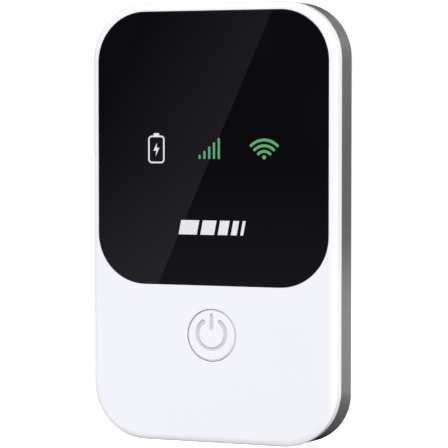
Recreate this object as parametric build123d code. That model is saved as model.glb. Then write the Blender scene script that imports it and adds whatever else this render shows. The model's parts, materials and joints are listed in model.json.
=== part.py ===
from build123d import *
import os
from math import cos, radians, sin, sqrt

# Pocket mobile hotspot with a removable back cover, battery and SIM card.
#
# Every piece is drawn in a flat drawing frame, in millimetres: X to the right and Y up as seen
# from the front, Z out of the front face, with Z = 0 on the back face and X = Y = 0 on the
# centre of the face. write() stands the piece up: the drawing's Y becomes the row's +Z, the
# front faces the row's -Y, and the row's origin is the centre of the footprint.

# ---------------------------------------------------------------- case, driving dimensions
CASE_WIDTH = 58.4
CASE_HEIGHT = 98.0
CASE_DEPTH = 14.0
CASE_CORNER = 12.55  # plan radius of the front shell's four corners
REAR_CORNERS = (12.3, 11.2)  # upper and lower plan radii at the back of the band and on the cover
SHELL_DEPTH = 3.9  # front shell, from the face back to the grey band
COVER_DEPTH = 3.4  # back cover, from the back face to the grey band
FACE_EDGE = 1.5  # rounding of the face's rim
BACK_EDGE = 3.2  # rounding of the back cover's rim
WALL = 1.5
SEAM = 0.12  # chamfer on both sides of each parting line

SHELL_LOW = CASE_DEPTH - SHELL_DEPTH
CEILING = 12.6  # inner face of the front shell
TONGUE_INSET = 0.8  # mid frame's tongue inside the front shell
TONGUE_RISE = 0.9
FIT_GAP = 0.1

# ---------------------------------------------------------------- lens panel and its icons
LENS_WIDTH = 55.1
LENS_HEIGHT = 60.9
LENS_CORNER = 11.3
LENS_CENTRE_Y = 16.74
LENS_THICK = 0.85
TAPE_THICK = 0.15
POCKET_GAP = 0.08
POCKET_FLOOR = CASE_DEPTH - LENS_THICK - TAPE_THICK
POCKET_CEILING = POCKET_FLOOR - 0.6
INLAY_DEEP = 0.12
ICON_ROW_Y = 16.5
BATTERY_ICON_X = -13.3
SIGNAL_ICON_X = -0.5
WIRELESS_ICON_X = 12.56
WINDOW_SIZE = (7.6, 7.4)

# ---------------------------------------------------------------- power button
BUTTON_Y = -24.86
BUTTON_RADIUS = 5.5
BUTTON_SKIRT = (5.74, 13.6)  # wider lower part of the cap: radius and top
BUTTON_HOLE = 5.88
BUTTON_FLANGE = 6.5
BUTTON_TRAVEL = 0.3
SYMBOL_RADIUS = 3.36
SYMBOL_STROKE = 0.88
SYMBOL_GAP = 38.0  # half angle of the open top, degrees
SYMBOL_SLIP = 0.18  # inner circle of the ring lies this much lower, so the ring thins downwards
SYMBOL_LIFT = 0.42  # ring centre above the button centre
SYMBOL_BAR = (1.2, 4.88)  # bar's ends above the button centre
SYMBOL_RECESS = 0.22
SYMBOL_THICK = 0.08
PLUNGER_TOP = 11.1  # where the button's stem meets the switch

# ---------------------------------------------------------------- board and battery stack
BOARD_LOW = 8.8
BOARD_HIGH = 9.6
BOARD_INSET = 2.0
BAY_FLOOR = (6.4, 7.2)
BAY_BOTTOM_Y = -27.0
BAY_TOP_Y = 36.0
INNER_WALL = (2.5, 3.5)  # insets of the wall that holds the battery
DECK = (2.2, 3.2)
FLANGE = (4.7, 5.7)
BATTERY_WIDTH = 50.6
BATTERY_LOW = 1.4
BATTERY_HIGH = 6.2
BATTERY_BOTTOM_Y = BAY_BOTTOM_Y + 0.3
BATTERY_TOP_Y = BAY_TOP_Y - 0.3
END_CAP = 3.2  # height of the battery's terminal block along Y
CONNECTOR_WIDTH = 12.0
TERMINAL_PITCH = 2.6

# ---------------------------------------------------------------- ports, switches, card
PORT_Z = BOARD_LOW - 1.58
PORT_WIDTH = 8.94
PORT_HEIGHT = 3.16
PORT_SKIN = 0.3
PORT_LENGTH = 7.3
PORT_MOUTH_Y = -CASE_HEIGHT / 2 + 0.3
RESET_X = 9.6
RESET_HOLE = 0.6
RESET_BLANK = 2.0  # keeps the wider part of the hole out of the band's wall
RESET_TRAVEL = 0.25
CARD_SIZE = (15.0, 12.0, 0.76)
CARD_CORNER = (-1.5, 13.0, 7.65)  # low X, Y and Z of the seated card
HOLDER_X = (2.0, 16.0)
HOLDER_SKIN = 0.15
FLEX_THICK = 0.12  # flex antennas

# ---------------------------------------------------------------- screws
SCREW_PLACES = [(x, y) for x in (-21.9, 21.9) for y in (-41.7, 41.7)]
SCREW_HEAD = (1.5, 1.1)  # radius, height
SCREW_SHANK = 0.62
THREAD_CREST = 0.78
THREAD_PITCH = 0.6
SCREW_SEAT = 3.7
SCREW_TIP = 12.2
BOSS_RADIUS = 2.3


# ================================================================ drawing helpers
def slab(width, height, low, high, at=(0, 0), corner=0.0):
    """A flat block between two heights, with rounded plan corners if corner is given."""
    outline = RectangleRounded(width, height, corner) if corner else Rectangle(width, height)
    return Pos(at[0], at[1], low) * extrude(outline, high - low)


def block(x, y, z):
    """A block from its (low, high) pairs on the three axes."""
    return slab(x[1] - x[0], y[1] - y[0], z[0], z[1], at=((x[0] + x[1]) / 2, (y[0] + y[1]) / 2))


def disc(radius, low, high, at=(0, 0)):
    """A round block between two heights."""
    return Pos(at[0], at[1], low) * extrude(Circle(radius), high - low)


def case_slab(inset, low, high):
    """A slab that follows the case outline, inset from it."""
    return slab(
        CASE_WIDTH - 2 * inset, CASE_HEIGHT - 2 * inset, low, high, corner=CASE_CORNER - inset
    )


def rear_outline(inset):
    """The case outline at the cover, inset, with its squarer corners."""
    outline = Rectangle(CASE_WIDTH - 2 * inset, CASE_HEIGHT - 2 * inset)
    for side, corner in zip((-1, 0), REAR_CORNERS):
        outline = fillet(outline.vertices().group_by(Axis.Y)[side], corner - inset)
    return outline


def case_ring(outer, inner, low, high):
    """A wall that follows the case outline between two insets."""
    return case_slab(outer, low, high) - case_slab(inner, low, high)


def lens_slab(grow, low, high):
    """A slab that follows the lens outline, grown by a gap."""
    return slab(
        LENS_WIDTH + 2 * grow,
        LENS_HEIGHT + 2 * grow,
        low,
        high,
        at=(0, LENS_CENTRE_Y),
        corner=LENS_CORNER + grow,
    )


def front_rim(shape):
    """Edges of the face nearest to the viewer."""
    return shape.faces().sort_by(Axis.Z)[-1].edges()


def back_rim(shape):
    """Edges of the face furthest from the viewer."""
    return shape.faces().sort_by(Axis.Z)[0].edges()


def group(shapes):
    """Separate solids kept together in one node."""
    return Compound(children=[solid for shape in shapes for solid in shape.solids()])


def arc_stroke(radius, width, start, span, slip=0.0):
    """A round-ended stroke along an arc about the origin; a slip lowers its inner circle."""
    outer = radius + width / 2

    def point(distance, angle, beside=0.0):
        a = radians(angle)
        return (distance * cos(a) - beside * sin(a), distance * sin(a) + beside * cos(a))

    def reach(angle):
        """Distance from the origin to the inner circle."""
        a = radians(angle)
        return sqrt((radius - width / 2) ** 2 - (slip * cos(a)) ** 2) - slip * sin(a)

    def cap(angle, side):
        inner = reach(angle)
        tip = point((outer + inner) / 2, angle, side * (outer - inner) / 2)
        return ThreePointArc(point(outer, angle), tip, point(inner, angle))

    angles = (start, start + span / 2, start + span)
    outside = ThreePointArc(*[point(outer, angle) for angle in angles])
    inside = ThreePointArc(*[point(reach(angle), angle) for angle in angles])
    return make_face([outside, cap(start + span, 1), inside, cap(start, -1)])


def bar_stroke(width, low, high):
    """A round-ended upright bar about X = 0."""
    return Pos(0, (low + high) / 2) * Rot(0, 0, 90) * SlotOverall(high - low, width)


# ================================================================ icons
def battery_icon_faces():
    """Outline of a battery with its cap, and a bolt inside."""
    width, height, stroke, corner = 4.0, 6.2, 0.36, 0.9
    case = RectangleRounded(width, height, corner)
    case -= RectangleRounded(width - 2 * stroke, height - 2 * stroke, corner - stroke)
    cap = Pos(0, height / 2 + 0.27) * RectangleRounded(1.35, 0.54, 0.2)
    upper, lower = [(0.72, 0.36), (0.1, 0.36), (0.14, 1.5)], [(-0.72, -0.28), (-0.02, -0.28), (-0.2, -1.62)]
    bolt = make_face(Polyline(*upper, *lower, close=True))
    centre = Pos(BATTERY_ICON_X, ICON_ROW_Y - 0.04)
    return [centre * case, centre * cap, centre * bolt]


def signal_icon_faces():
    """Five bars of rising height."""
    pitch, width, first, step, foot = 1.15, 0.52, 0.84, 0.935, 14.42
    bars = []
    for i in range(5):
        height = first + i * step
        bar = RectangleRounded(width, height, 0.12)
        bars.append(Pos(SIGNAL_ICON_X + (i - 2) * pitch, foot + height / 2) * bar)
    return bars


def wireless_icon_faces():
    """A dot with three arcs above it."""
    centre = Pos(WIRELESS_ICON_X, 14.15)
    faces = [centre * Pos(0, 0.7) * Circle(0.45)]
    for radius in (2.0, 3.25, 4.5):
        faces.append(centre * arc_stroke(radius, 0.62, 46, 88))
    return faces


def panel_mark_faces():
    """A plain decorative row of leaning bars, each narrower than the last."""
    height, lean, gap, left, foot = 3.2, 0.62, 0.85, -7.9, -2.45
    faces = []
    for width in (4.4, 3.3, 2.3, 1.4, 0.7):
        corners = [(0, 0), (width, 0), (width + lean, height), (lean, height)]
        faces.append(Pos(left, foot) * make_face(Polyline(*corners, close=True)))
        left += width + gap
    return faces


def inlays(faces):
    """Flush inlays in the lens, one solid for each face."""
    return group([Pos(0, 0, CASE_DEPTH - INLAY_DEEP) * extrude(f, INLAY_DEEP) for f in faces])


def window_places():
    return [(x, ICON_ROW_Y) for x in (BATTERY_ICON_X, SIGNAL_ICON_X, WIRELESS_ICON_X)]


# ================================================================ front of the case
def front_shell():
    body = case_slab(0, SHELL_LOW, CASE_DEPTH)
    body = fillet(front_rim(body), FACE_EDGE)
    body = chamfer(back_rim(body), SEAM)
    body -= case_slab(WALL, SHELL_LOW, CEILING)
    body -= case_slab(TONGUE_INSET - FIT_GAP, SHELL_LOW, SHELL_LOW + TONGUE_RISE + FIT_GAP)
    pad_foot = LENS_CENTRE_Y - LENS_HEIGHT / 2 - 0.8
    pad = case_slab(WALL - 0.1, POCKET_CEILING, CEILING + 0.1)
    body += pad & block((-30, 30), (pad_foot, 50), (POCKET_CEILING, CEILING + 0.1))
    body -= lens_slab(POCKET_GAP, POCKET_FLOOR, CASE_DEPTH)
    for place in window_places():
        body -= slab(*WINDOW_SIZE, POCKET_CEILING, POCKET_FLOOR, at=place, corner=0.5)
    for place in SCREW_PLACES:
        top = POCKET_CEILING if place[1] > 0 else CEILING
        body += disc(BOSS_RADIUS - 0.4, BOARD_HIGH, top + 0.1, at=place)
        body -= disc(THREAD_CREST + 0.02, BOARD_HIGH, SCREW_TIP + 0.2, at=place)
    centre = (0, BUTTON_Y)
    guide = disc(BUTTON_FLANGE + 1.0, CEILING - 1.2, CEILING + 0.1, at=centre)
    body += guide - disc(BUTTON_FLANGE + 0.2, CEILING - 1.2, CEILING, at=centre)
    body -= disc(BUTTON_HOLE, CEILING - 1.2, CASE_DEPTH, at=centre)
    rim = body.edges().filter_by(GeomType.CIRCLE)
    rim = rim.filter_by(lambda e: abs(e.radius - BUTTON_HOLE) < 1e-3 and e.center().Z > CASE_DEPTH - 0.01)
    return fillet(rim, 0.18)


def lens_panel():
    lens = lens_slab(0, CASE_DEPTH - LENS_THICK, CASE_DEPTH)
    lens = fillet(front_rim(lens), 0.15)
    marks = battery_icon_faces() + signal_icon_faces() + wireless_icon_faces() + panel_mark_faces()
    for face in marks:
        lens -= Pos(0, 0, CASE_DEPTH - INLAY_DEEP) * extrude(face, INLAY_DEEP + 0.1)
    return lens


def lens_adhesive():
    tape = lens_slab(-0.6, POCKET_FLOOR, POCKET_FLOOR + TAPE_THICK)
    for place in window_places():
        tape -= slab(8.4, 8.2, POCKET_FLOOR, POCKET_FLOOR + TAPE_THICK, at=place, corner=0.8)
    return tape


def light_diffusers():
    width, height = (size - 0.1 for size in WINDOW_SIZE)
    low, high = POCKET_CEILING, POCKET_FLOOR - 0.05
    return group([slab(width, height, low, high, at=p, corner=0.45) for p in window_places()])


def light_shroud():
    """Opaque walls that keep each indicator's light to its own window."""
    low, high = BOARD_HIGH, POCKET_CEILING
    body = slab(36.0, 9.6, low, high, at=(-0.37, ICON_ROW_Y), corner=1.0)
    for place in window_places():
        body -= slab(8.2, 7.8, low, high, at=place, corner=0.6)
    return body


def status_leds():
    bodies = []
    for place in window_places():
        base = slab(1.6, 0.8, BOARD_HIGH, BOARD_HIGH + 0.25, at=place)
        dome = slab(1.1, 0.8, BOARD_HIGH + 0.25, BOARD_HIGH + 0.6, at=place)
        bodies.append(base + dome)
    return group(bodies)


# ================================================================ power button and its switch
def symbol_faces():
    span = 360 - 2 * SYMBOL_GAP
    ring = arc_stroke(SYMBOL_RADIUS, SYMBOL_STROKE, 90 + SYMBOL_GAP, span, SYMBOL_SLIP)
    bar = bar_stroke(SYMBOL_STROKE, *SYMBOL_BAR)
    return [Pos(0, BUTTON_Y + SYMBOL_LIFT) * ring, Pos(0, BUTTON_Y) * bar]


def power_button():
    centre = (0, BUTTON_Y)
    cap = disc(BUTTON_RADIUS, CEILING - 0.3, CASE_DEPTH, at=centre)
    cap = fillet(front_rim(cap), 0.22)
    cap += disc(BUTTON_SKIRT[0], CEILING - 0.3, BUTTON_SKIRT[1], at=centre)
    cap += disc(BUTTON_FLANGE, CEILING - 0.7, CEILING - 0.15, at=centre)
    cap += disc(1.2, PLUNGER_TOP, CEILING - 0.6, at=centre)
    for face in symbol_faces():
        cap -= Pos(0, 0, CASE_DEPTH - SYMBOL_RECESS) * extrude(face, 2 * SYMBOL_RECESS)
    return cap


def power_symbol():
    foot = Pos(0, 0, CASE_DEPTH - SYMBOL_RECESS)
    return group([foot * extrude(face, SYMBOL_THICK) for face in symbol_faces()])


def power_switch_body():
    centre = (0, BUTTON_Y)
    body = slab(5.2, 5.2, BOARD_HIGH, BOARD_HIGH + 1.0, at=centre, corner=0.3)
    body -= disc(1.35, BOARD_HIGH + 0.25, BOARD_HIGH + 1.0, at=centre)
    for x in (-2.9, 2.9):
        for y in (-1.85, 1.85):
            body += slab(1.0, 0.7, BOARD_HIGH, BOARD_HIGH + 0.15, at=(x, BUTTON_Y + y))
    return body


def power_switch_plunger():
    low = BOARD_HIGH + 0.3 + BUTTON_TRAVEL
    return chamfer(front_rim(disc(1.25, low, PLUNGER_TOP, at=(0, BUTTON_Y))), 0.15)


# ================================================================ mid frame
def relief_places():
    """Middle of each snap barb: (x, y, length along x, length along y)."""
    sides = [(side * CASE_WIDTH / 2, y, 0, 6.0) for side in (-1, 1) for y in (-26.0, 0.0, 26.0)]
    ends = [(x, side * CASE_HEIGHT / 2, 6.0, 0) for side in (-1, 1) for x in (-11.0, 11.0)]
    return sides + ends


def snap_blocks(proud_to, spare, low, high):
    """Blocks over each snap barb, reaching outward to an inset from the case outline."""
    blocks = []
    for x, y, along_x, along_y in relief_places():
        deep = 2 * (INNER_WALL[0] - proud_to)
        edge_x = x - (deep / 2 + proud_to) * (x > 0) + (deep / 2 + proud_to) * (x < 0)
        edge_y = y - (deep / 2 + proud_to) * (y > 0) + (deep / 2 + proud_to) * (y < 0)
        if along_y:
            blocks.append(slab(deep, along_y + spare, low, high, at=(edge_x, y)))
        else:
            blocks.append(slab(along_x + spare, deep, low, high, at=(x, edge_y)))
    return blocks


def port_outline(grow):
    """Stadium outline of the USB receptacle, on the plane of the lower edge."""
    plane = Plane(origin=(0, -CASE_HEIGHT / 2, PORT_Z), x_dir=(1, 0, 0), z_dir=(0, -1, 0))
    return plane * SlotOverall(PORT_WIDTH + 2 * grow, PORT_HEIGHT + 2 * grow)


def edge_hole(radius, x, depth):
    """A round hole into the lower edge at the ports' height."""
    plane = Plane(origin=(x, -CASE_HEIGHT / 2, PORT_Z), x_dir=(1, 0, 0), z_dir=(0, 1, 0))
    return extrude(plane * Circle(radius), depth)


def corner_waste(x, y, rear):
    """What lies outside one corner of the band: its radius goes from the cover's to the shell's."""
    levels = [
        (COVER_DEPTH, rear, SEAM),
        (COVER_DEPTH + SEAM, rear, 0),
        (SHELL_LOW - SEAM, CASE_CORNER, 0),
        (SHELL_LOW, CASE_CORNER, SEAM),
    ]
    sections = []
    for z, corner, cut in levels:
        centre_x, centre_y = x * (CASE_WIDTH / 2 - corner), y * (CASE_HEIGHT / 2 - corner)
        reach = corner + WALL
        square = Pos(centre_x + x * reach / 2, centre_y + y * reach / 2) * Rectangle(reach, reach)
        sections.append(Pos(0, 0, z) * (square - Pos(centre_x, centre_y) * Circle(corner - cut)))
    return loft(sections, ruled=True)


def grey_band():
    """The outer band, solid, with chamfers along both parting lines."""
    band = slab(CASE_WIDTH, CASE_HEIGHT, COVER_DEPTH, SHELL_LOW)
    band = chamfer(front_rim(band) + back_rim(band), SEAM)
    for y, rear in zip((1, -1), REAR_CORNERS):
        for x in (-1, 1):
            band -= corner_waste(x, y, rear)
    return band


def mid_frame():
    body = grey_band() - case_slab(WALL, COVER_DEPTH, SHELL_LOW)
    body += case_ring(TONGUE_INSET, WALL, SHELL_LOW - 0.5, SHELL_LOW + TONGUE_RISE)
    body += case_ring(WALL - 0.2, INNER_WALL[0] + 0.2, *FLANGE)
    body += case_ring(*INNER_WALL, DECK[0], BAY_FLOOR[1])
    inside = case_slab(INNER_WALL[0] + 0.2, DECK[0], BAY_FLOOR[1])
    bay_y = (BAY_BOTTOM_Y - 1, BAY_TOP_Y + 1)
    body += inside & block((-30, 30), bay_y, BAY_FLOOR)
    for low, high in ((bay_y[0], BAY_BOTTOM_Y), (BAY_TOP_Y, bay_y[1])):
        body += inside & block((-30, 30), (low, high), (DECK[0], BAY_FLOOR[1]))
    body += inside & block((-30, 30), (-50, BAY_BOTTOM_Y), DECK)
    body += inside & block((-30, 30), (BAY_TOP_Y, 50), DECK)
    for place in SCREW_PLACES:
        body += disc(BOSS_RADIUS, DECK[0], BOARD_LOW, at=place)
        body -= disc(SCREW_HEAD[0] + 0.2, DECK[0], SCREW_SEAT, at=place)
        body -= disc(THREAD_CREST + 0.2, SCREW_SEAT, BOARD_LOW, at=place)
    half = CONNECTOR_WIDTH / 2 + 0.3
    body -= block((-half, half), bay_y[:1] + (BAY_BOTTOM_Y,), (3.6, BAY_FLOOR[1]))
    card_x, card_y = CARD_CORNER[0], CARD_CORNER[1]
    body -= block((card_x - 13.7, HOLDER_X[1] + 0.6), (card_y - 1.1, card_y + 13.1), BAY_FLOOR)
    thumb = disc(7.0, DECK[0], BAY_FLOOR[0] - 1.4, at=(0, BAY_TOP_Y - 2.0))
    body -= thumb & block((-9, 9), (BAY_TOP_Y - 1, BAY_TOP_Y + 6), (DECK[0], BAY_FLOOR[0] - 1.4))
    body += thumb_scoop()
    body -= extrude(port_outline(0.18), -INNER_WALL[1] - 0.3)
    body -= edge_hole(RESET_HOLE, RESET_X, WALL)
    body -= edge_hole(RESET_HOLE + 0.2, RESET_X, INNER_WALL[1] + 0.3) - edge_hole(RESET_BLANK, RESET_X, WALL)
    for relief in snap_blocks(1.25, 0.6, COVER_DEPTH, FLANGE[0] - 0.1):
        body -= relief & case_ring(1.25, WALL + 0.05, COVER_DEPTH, FLANGE[0] - 0.1)
    return body


def thumb_scoop():
    """Curved wall behind the thumb notch, so that the notch doesn't open into the case."""
    low, high = DECK[0], BAY_FLOOR[0] - 1.4
    wall = disc(7.8, low, high + 0.6, at=(0, BAY_TOP_Y - 2.0))
    wall -= disc(7.0, low, high, at=(0, BAY_TOP_Y - 2.0))
    return wall & block((-9, 9), (BAY_TOP_Y, BAY_TOP_Y + 6), (low, high + 0.6))


def rating_label():
    return slab(30, 26, BAY_FLOOR[0] - 0.1, BAY_FLOOR[0], at=(0, -9), corner=1.2)


# ================================================================ back cover
def back_cover():
    inset = 0.06
    body = extrude(rear_outline(inset), COVER_DEPTH)
    body = fillet(back_rim(body), BACK_EDGE)
    body = chamfer(front_rim(body), SEAM)
    wall = 1.1
    inner = case_slab(inset + wall, wall, COVER_DEPTH + 1)
    body -= fillet(back_rim(inner), BACK_EDGE - wall)
    body += case_ring(1.0, 2.3, 2.35, COVER_DEPTH - 0.1)
    body += case_ring(1.6, 2.3, COVER_DEPTH - 0.2, FLANGE[0] - 0.2)
    for barb in snap_blocks(1.48, 0, COVER_DEPTH + 0.3, FLANGE[0] - 0.4):
        body += barb & case_ring(1.48, 1.9, COVER_DEPTH + 0.3, FLANGE[0] - 0.4)
    for y in (-40.0, 40.0):
        for x in (-14.0, 0.0, 14.0):
            body += block((x - 0.5, x + 0.5), (y - 4, y + 4), (wall - 0.1, 1.9))
    notch = slab(9.0, 1.8, COVER_DEPTH - 0.75, COVER_DEPTH, at=(-13.0, -CASE_HEIGHT / 2), corner=0.85)
    return body - notch


# ================================================================ battery
def battery_cell():
    y = (BATTERY_BOTTOM_Y + END_CAP, BATTERY_TOP_Y)
    cell = block((-BATTERY_WIDTH / 2, BATTERY_WIDTH / 2), y, (BATTERY_LOW, BATTERY_HIGH))
    return fillet(cell.edges().filter_by(Axis.Y), 1.6)


def battery_end_cap():
    y = (BATTERY_BOTTOM_Y, BATTERY_BOTTOM_Y + END_CAP)
    cap = block((-BATTERY_WIDTH / 2, BATTERY_WIDTH / 2), y, (BATTERY_LOW, BATTERY_HIGH))
    cap = fillet(cap.edges().filter_by(Axis.Y), 1.6)
    for x in terminal_places():
        cap -= block((x - 0.9, x + 0.9), (y[0], y[0] + 0.3), (3.9, BATTERY_HIGH))
    return cap


def terminal_places():
    return [(i - 1.5) * TERMINAL_PITCH for i in range(4)]


def battery_terminals():
    y = (BATTERY_BOTTOM_Y + 0.1, BATTERY_BOTTOM_Y + 0.3)
    return group([block((x - 0.9, x + 0.9), y, (3.9, 5.7)) for x in terminal_places()])


def battery_label():
    height = BATTERY_TOP_Y - BATTERY_BOTTOM_Y - END_CAP - 2
    middle = (BATTERY_TOP_Y + BATTERY_BOTTOM_Y + END_CAP) / 2
    return slab(45, height, BATTERY_LOW - 0.08, BATTERY_LOW, at=(0, middle), corner=1.0)


def battery_connector():
    half = CONNECTOR_WIDTH / 2
    body = block((-half, half), (-31.2, -27.6), (3.8, BOARD_LOW))
    for x in terminal_places():
        body -= block((x - 0.55, x + 0.55), (-29.6, -27.6), (4.1, BOARD_LOW))
    return body


def battery_fingers():
    """Spring fingers of the connector, bowed towards the battery's terminals."""
    reach = BATTERY_BOTTOM_Y + 0.05
    fingers = []
    for x in terminal_places():
        plane = Plane(origin=(x - 0.4, 0, 0), x_dir=(0, 1, 0), z_dir=(1, 0, 0))
        spine = Spline((-29.3, BOARD_LOW), (-29.1, 7.4), (reach - 0.1, 4.8), (-28.6, 4.25))
        fingers.append(plane * extrude(trace(spine, 0.16), 0.8))
    return group(fingers)


# ================================================================ board and what is on it
def main_board():
    board = case_slab(BOARD_INSET, BOARD_LOW, BOARD_HIGH)
    for place in SCREW_PLACES:
        board -= disc(1.0, BOARD_LOW, BOARD_HIGH, at=place)
    return board


def can(x, y, board_face, height, skin=0.15):
    """A drawn metal can soldered to the board, open towards it."""
    towards_front = height > 0
    low, high = sorted((board_face, board_face + height))
    centre = ((x[0] + x[1]) / 2, (y[0] + y[1]) / 2)
    width, depth = x[1] - x[0], y[1] - y[0]
    shell = slab(width, depth, low, high, at=centre, corner=0.6)
    lid = front_rim(shell) if towards_front else back_rim(shell)
    shell = fillet(lid, 0.3)
    hollow = (low, high - skin) if towards_front else (low + skin, high)
    return shell - slab(width - 2 * skin, depth - 2 * skin, *hollow, at=centre, corner=0.45)


FRONT_CANS = {
    "baseband_shield": ((-23.5, -2.5), (-15.0, 9.0)),
    "radio_shield": ((1.5, 23.5), (-15.0, 9.0)),
}
REAR_CANS = {
    "power_shield": ((-23.0, -3.0), (-24.0, -2.0)),
    "wireless_shield": ((1.0, 22.0), (-24.0, -6.0)),
}


def chip(x, y, low, high, mark):
    """A moulded chip with a small dimple at its first pin, on the side that faces away."""
    body = block(x, y, (low, high))
    face = high if mark > 0 else low
    dimple = disc(0.3, face - 0.1, face + 0.1, at=(x[0] + 0.8, y[1] - 0.8))
    return body - dimple


def front_chip(x, y, height):
    return chip(x, y, BOARD_HIGH, BOARD_HIGH + height, 1)


def rear_chip(x, y, height):
    return chip(x, y, BOARD_LOW - height, BOARD_LOW, -1)


def amplifiers():
    places = [(6.0, -11.0), (12.5, -11.0), (19.0, -11.0)]
    return group([front_chip((x - 2, x + 2), (y - 1.5, y + 1.5), 0.8) for x, y in places])


def passives():
    """Small capacitors and resistors on both sides of the board."""
    parts = []
    for i in range(9):
        parts.append(slab(1.0, 0.5, BOARD_HIGH, BOARD_HIGH + 0.45, at=(-20 + i * 2.1, 24.5)))
    for i in range(6):
        parts.append(slab(0.5, 1.0, BOARD_HIGH, BOARD_HIGH + 0.45, at=(-15 + i * 1.9, -21.0)))
    for i in range(7):
        parts.append(slab(0.5, 1.0, BOARD_LOW - 0.45, BOARD_LOW, at=(-20 + i * 2.0, 2.2)))
    return group(parts)


def power_inductors():
    parts = []
    for y in (-20.0, -14.5):
        coil = slab(4.0, 4.0, BOARD_LOW - 1.2, BOARD_LOW, at=(-18.5, y), corner=0.8)
        parts.append(chamfer(back_rim(coil), 0.2))
    return group(parts)


def thermal_pad():
    return slab(16, 16, BAY_FLOOR[1], BOARD_LOW - 1.4, at=(-13, -13), corner=0.5)


# ================================================================ USB receptacle
def usb_shell():
    outer = extrude(port_outline(0), -PORT_LENGTH - 0.3) - extrude(port_outline(0), -0.3)
    inner = extrude(port_outline(-PORT_SKIN), -PORT_LENGTH)
    body = outer - inner
    legs = []
    for x in (-4.75, 4.75):
        for y in (-44.4, -42.0):
            legs.append(block((x - 0.35, x + 0.35), (y - 0.5, y + 0.5), (PORT_Z - 0.2, BOARD_LOW)))
    return body + legs


def usb_tongue():
    back = PORT_MOUTH_Y + PORT_LENGTH - 0.3
    core = extrude(port_outline(-PORT_SKIN), -PORT_LENGTH) & block((-5, 5), (back - 1.2, back), (5, 10))
    tongue = block((-3.34, 3.34), (PORT_MOUTH_Y + 1.2, back), (PORT_Z - 0.35, PORT_Z + 0.35))
    return core + tongue


def usb_contacts():
    parts = []
    for side in (-1, 1):
        face = PORT_Z + side * 0.35
        z = (face, face + 0.06) if side > 0 else (face - 0.06, face)
        for i in range(12):
            x = (i - 5.5) * 0.5
            parts.append(block((x - 0.12, x + 0.12), (PORT_MOUTH_Y + 1.5, PORT_MOUTH_Y + 5.4), z))
    return group(parts)


# ================================================================ reset switch
def reset_switch_body():
    body = block((RESET_X - 2.2, RESET_X + 2.2), (-45.3, -41.7), (PORT_Z - 0.9, BOARD_LOW))
    plane = Plane(origin=(RESET_X, -45.3, PORT_Z), x_dir=(1, 0, 0), z_dir=(0, 1, 0))
    return body - extrude(plane * Circle(0.62), 1.8)


def reset_switch_plunger():
    plane = Plane(origin=(RESET_X, -46.3, PORT_Z), x_dir=(1, 0, 0), z_dir=(0, 1, 0))
    return extrude(plane * Circle(0.55), 2.4)


# ================================================================ SIM card and holder
def sim_card():
    x, y, z = CARD_CORNER
    width, height, thick = CARD_SIZE
    cut = 2.2
    corners = [(0, 0), (width - cut, 0), (width, cut), (width, height), (0, height)]
    card = Pos(x, y, z) * extrude(make_face(Polyline(*corners, close=True)), thick)
    return card - card_pad_recess()


def card_pad_recess():
    x, y, z = CARD_CORNER
    top = z + CARD_SIZE[2]
    return slab(8.0, 8.0, top - 0.06, top, at=(x + 9.4, y + 6.0), corner=0.8)


def sim_card_pads():
    """Gold contact pads, two columns of four, set in the card's surface."""
    x, y, z = CARD_CORNER
    top = z + CARD_SIZE[2]
    pads = []
    for column in (-2.0, 2.0):
        for row in range(4):
            at = (x + 9.4 + column, y + 6.0 + (row - 1.5) * 1.95)
            pads.append(slab(3.8, 1.75, top - 0.06, top, at=at, corner=0.25))
    return group(pads)


def sim_holder_base():
    y = (CARD_CORNER[1] - 0.2, CARD_CORNER[1] + 12.2)
    return block(HOLDER_X, y, (8.58, BOARD_LOW))


def sim_holder_cage():
    """Folded sheet over the card: a lid, two sides and a stop at the far end."""
    low = CARD_CORNER[2] - 0.1 - HOLDER_SKIN
    y = (CARD_CORNER[1] - 0.2 - HOLDER_SKIN, CARD_CORNER[1] + 12.2 + HOLDER_SKIN)
    outer = block(HOLDER_X, y, (low, BOARD_LOW))
    hollow = block(
        (HOLDER_X[0], HOLDER_X[1] - HOLDER_SKIN),
        (y[0] + HOLDER_SKIN, y[1] - HOLDER_SKIN),
        (low + HOLDER_SKIN, BOARD_LOW),
    )
    window = slab(5.0, 6.4, low, low + HOLDER_SKIN, at=(11.4, CARD_CORNER[1] + 6.0), corner=1.0)
    thumb = disc(2.4, low, low + HOLDER_SKIN, at=(HOLDER_X[0], CARD_CORNER[1] + 6.0))
    base = block((HOLDER_X[0], HOLDER_X[1]), (y[0] + HOLDER_SKIN, y[1] - HOLDER_SKIN), (8.58, BOARD_LOW))
    return outer - hollow - window - thumb - base


def sim_contacts():
    parts = []
    for column in (-2.0, 2.0):
        for row in range(3):
            at = (CARD_CORNER[0] + 9.4 + column, CARD_CORNER[1] + 6.0 + (row - 1) * 2.54)
            parts.append(slab(2.2, 0.7, 8.43, 8.58, at=at))
    return group(parts)


# ================================================================ antennas
def flex_sheet(x, y, face, slots):
    """A thin flex antenna stuck under the front shell, with slots between its arms."""
    width, height = x[1] - x[0], y[1] - y[0]
    centre = ((x[0] + x[1]) / 2, (y[0] + y[1]) / 2)
    sheet = slab(width, height, face - FLEX_THICK, face, at=centre, corner=1.0)
    for slot_x, slot_y in slots:
        sheet -= block(slot_x, slot_y, (face - FLEX_THICK, face))
    return sheet


def main_antenna():
    slots = [((-16.0, 8.0), (-41.6, -40.6)), ((-9.0, 20.0), (-38.6, -37.6))]
    return flex_sheet((-19.0, 19.0), (-45.0, -35.0), CEILING, slots)


def diversity_antenna():
    slots = [((-14.0, 4.0), (38.4, 39.4)), ((-4.0, 20.0), (35.4, 36.4))]
    return flex_sheet((-19.0, 19.0), (32.0, 42.0), POCKET_CEILING, slots)


def wireless_antenna():
    return flex_sheet((20.0, 27.0), (-33.0, -16.5), CEILING, [((22.2, 23.2), (-31.0, -19.0))])


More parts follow.
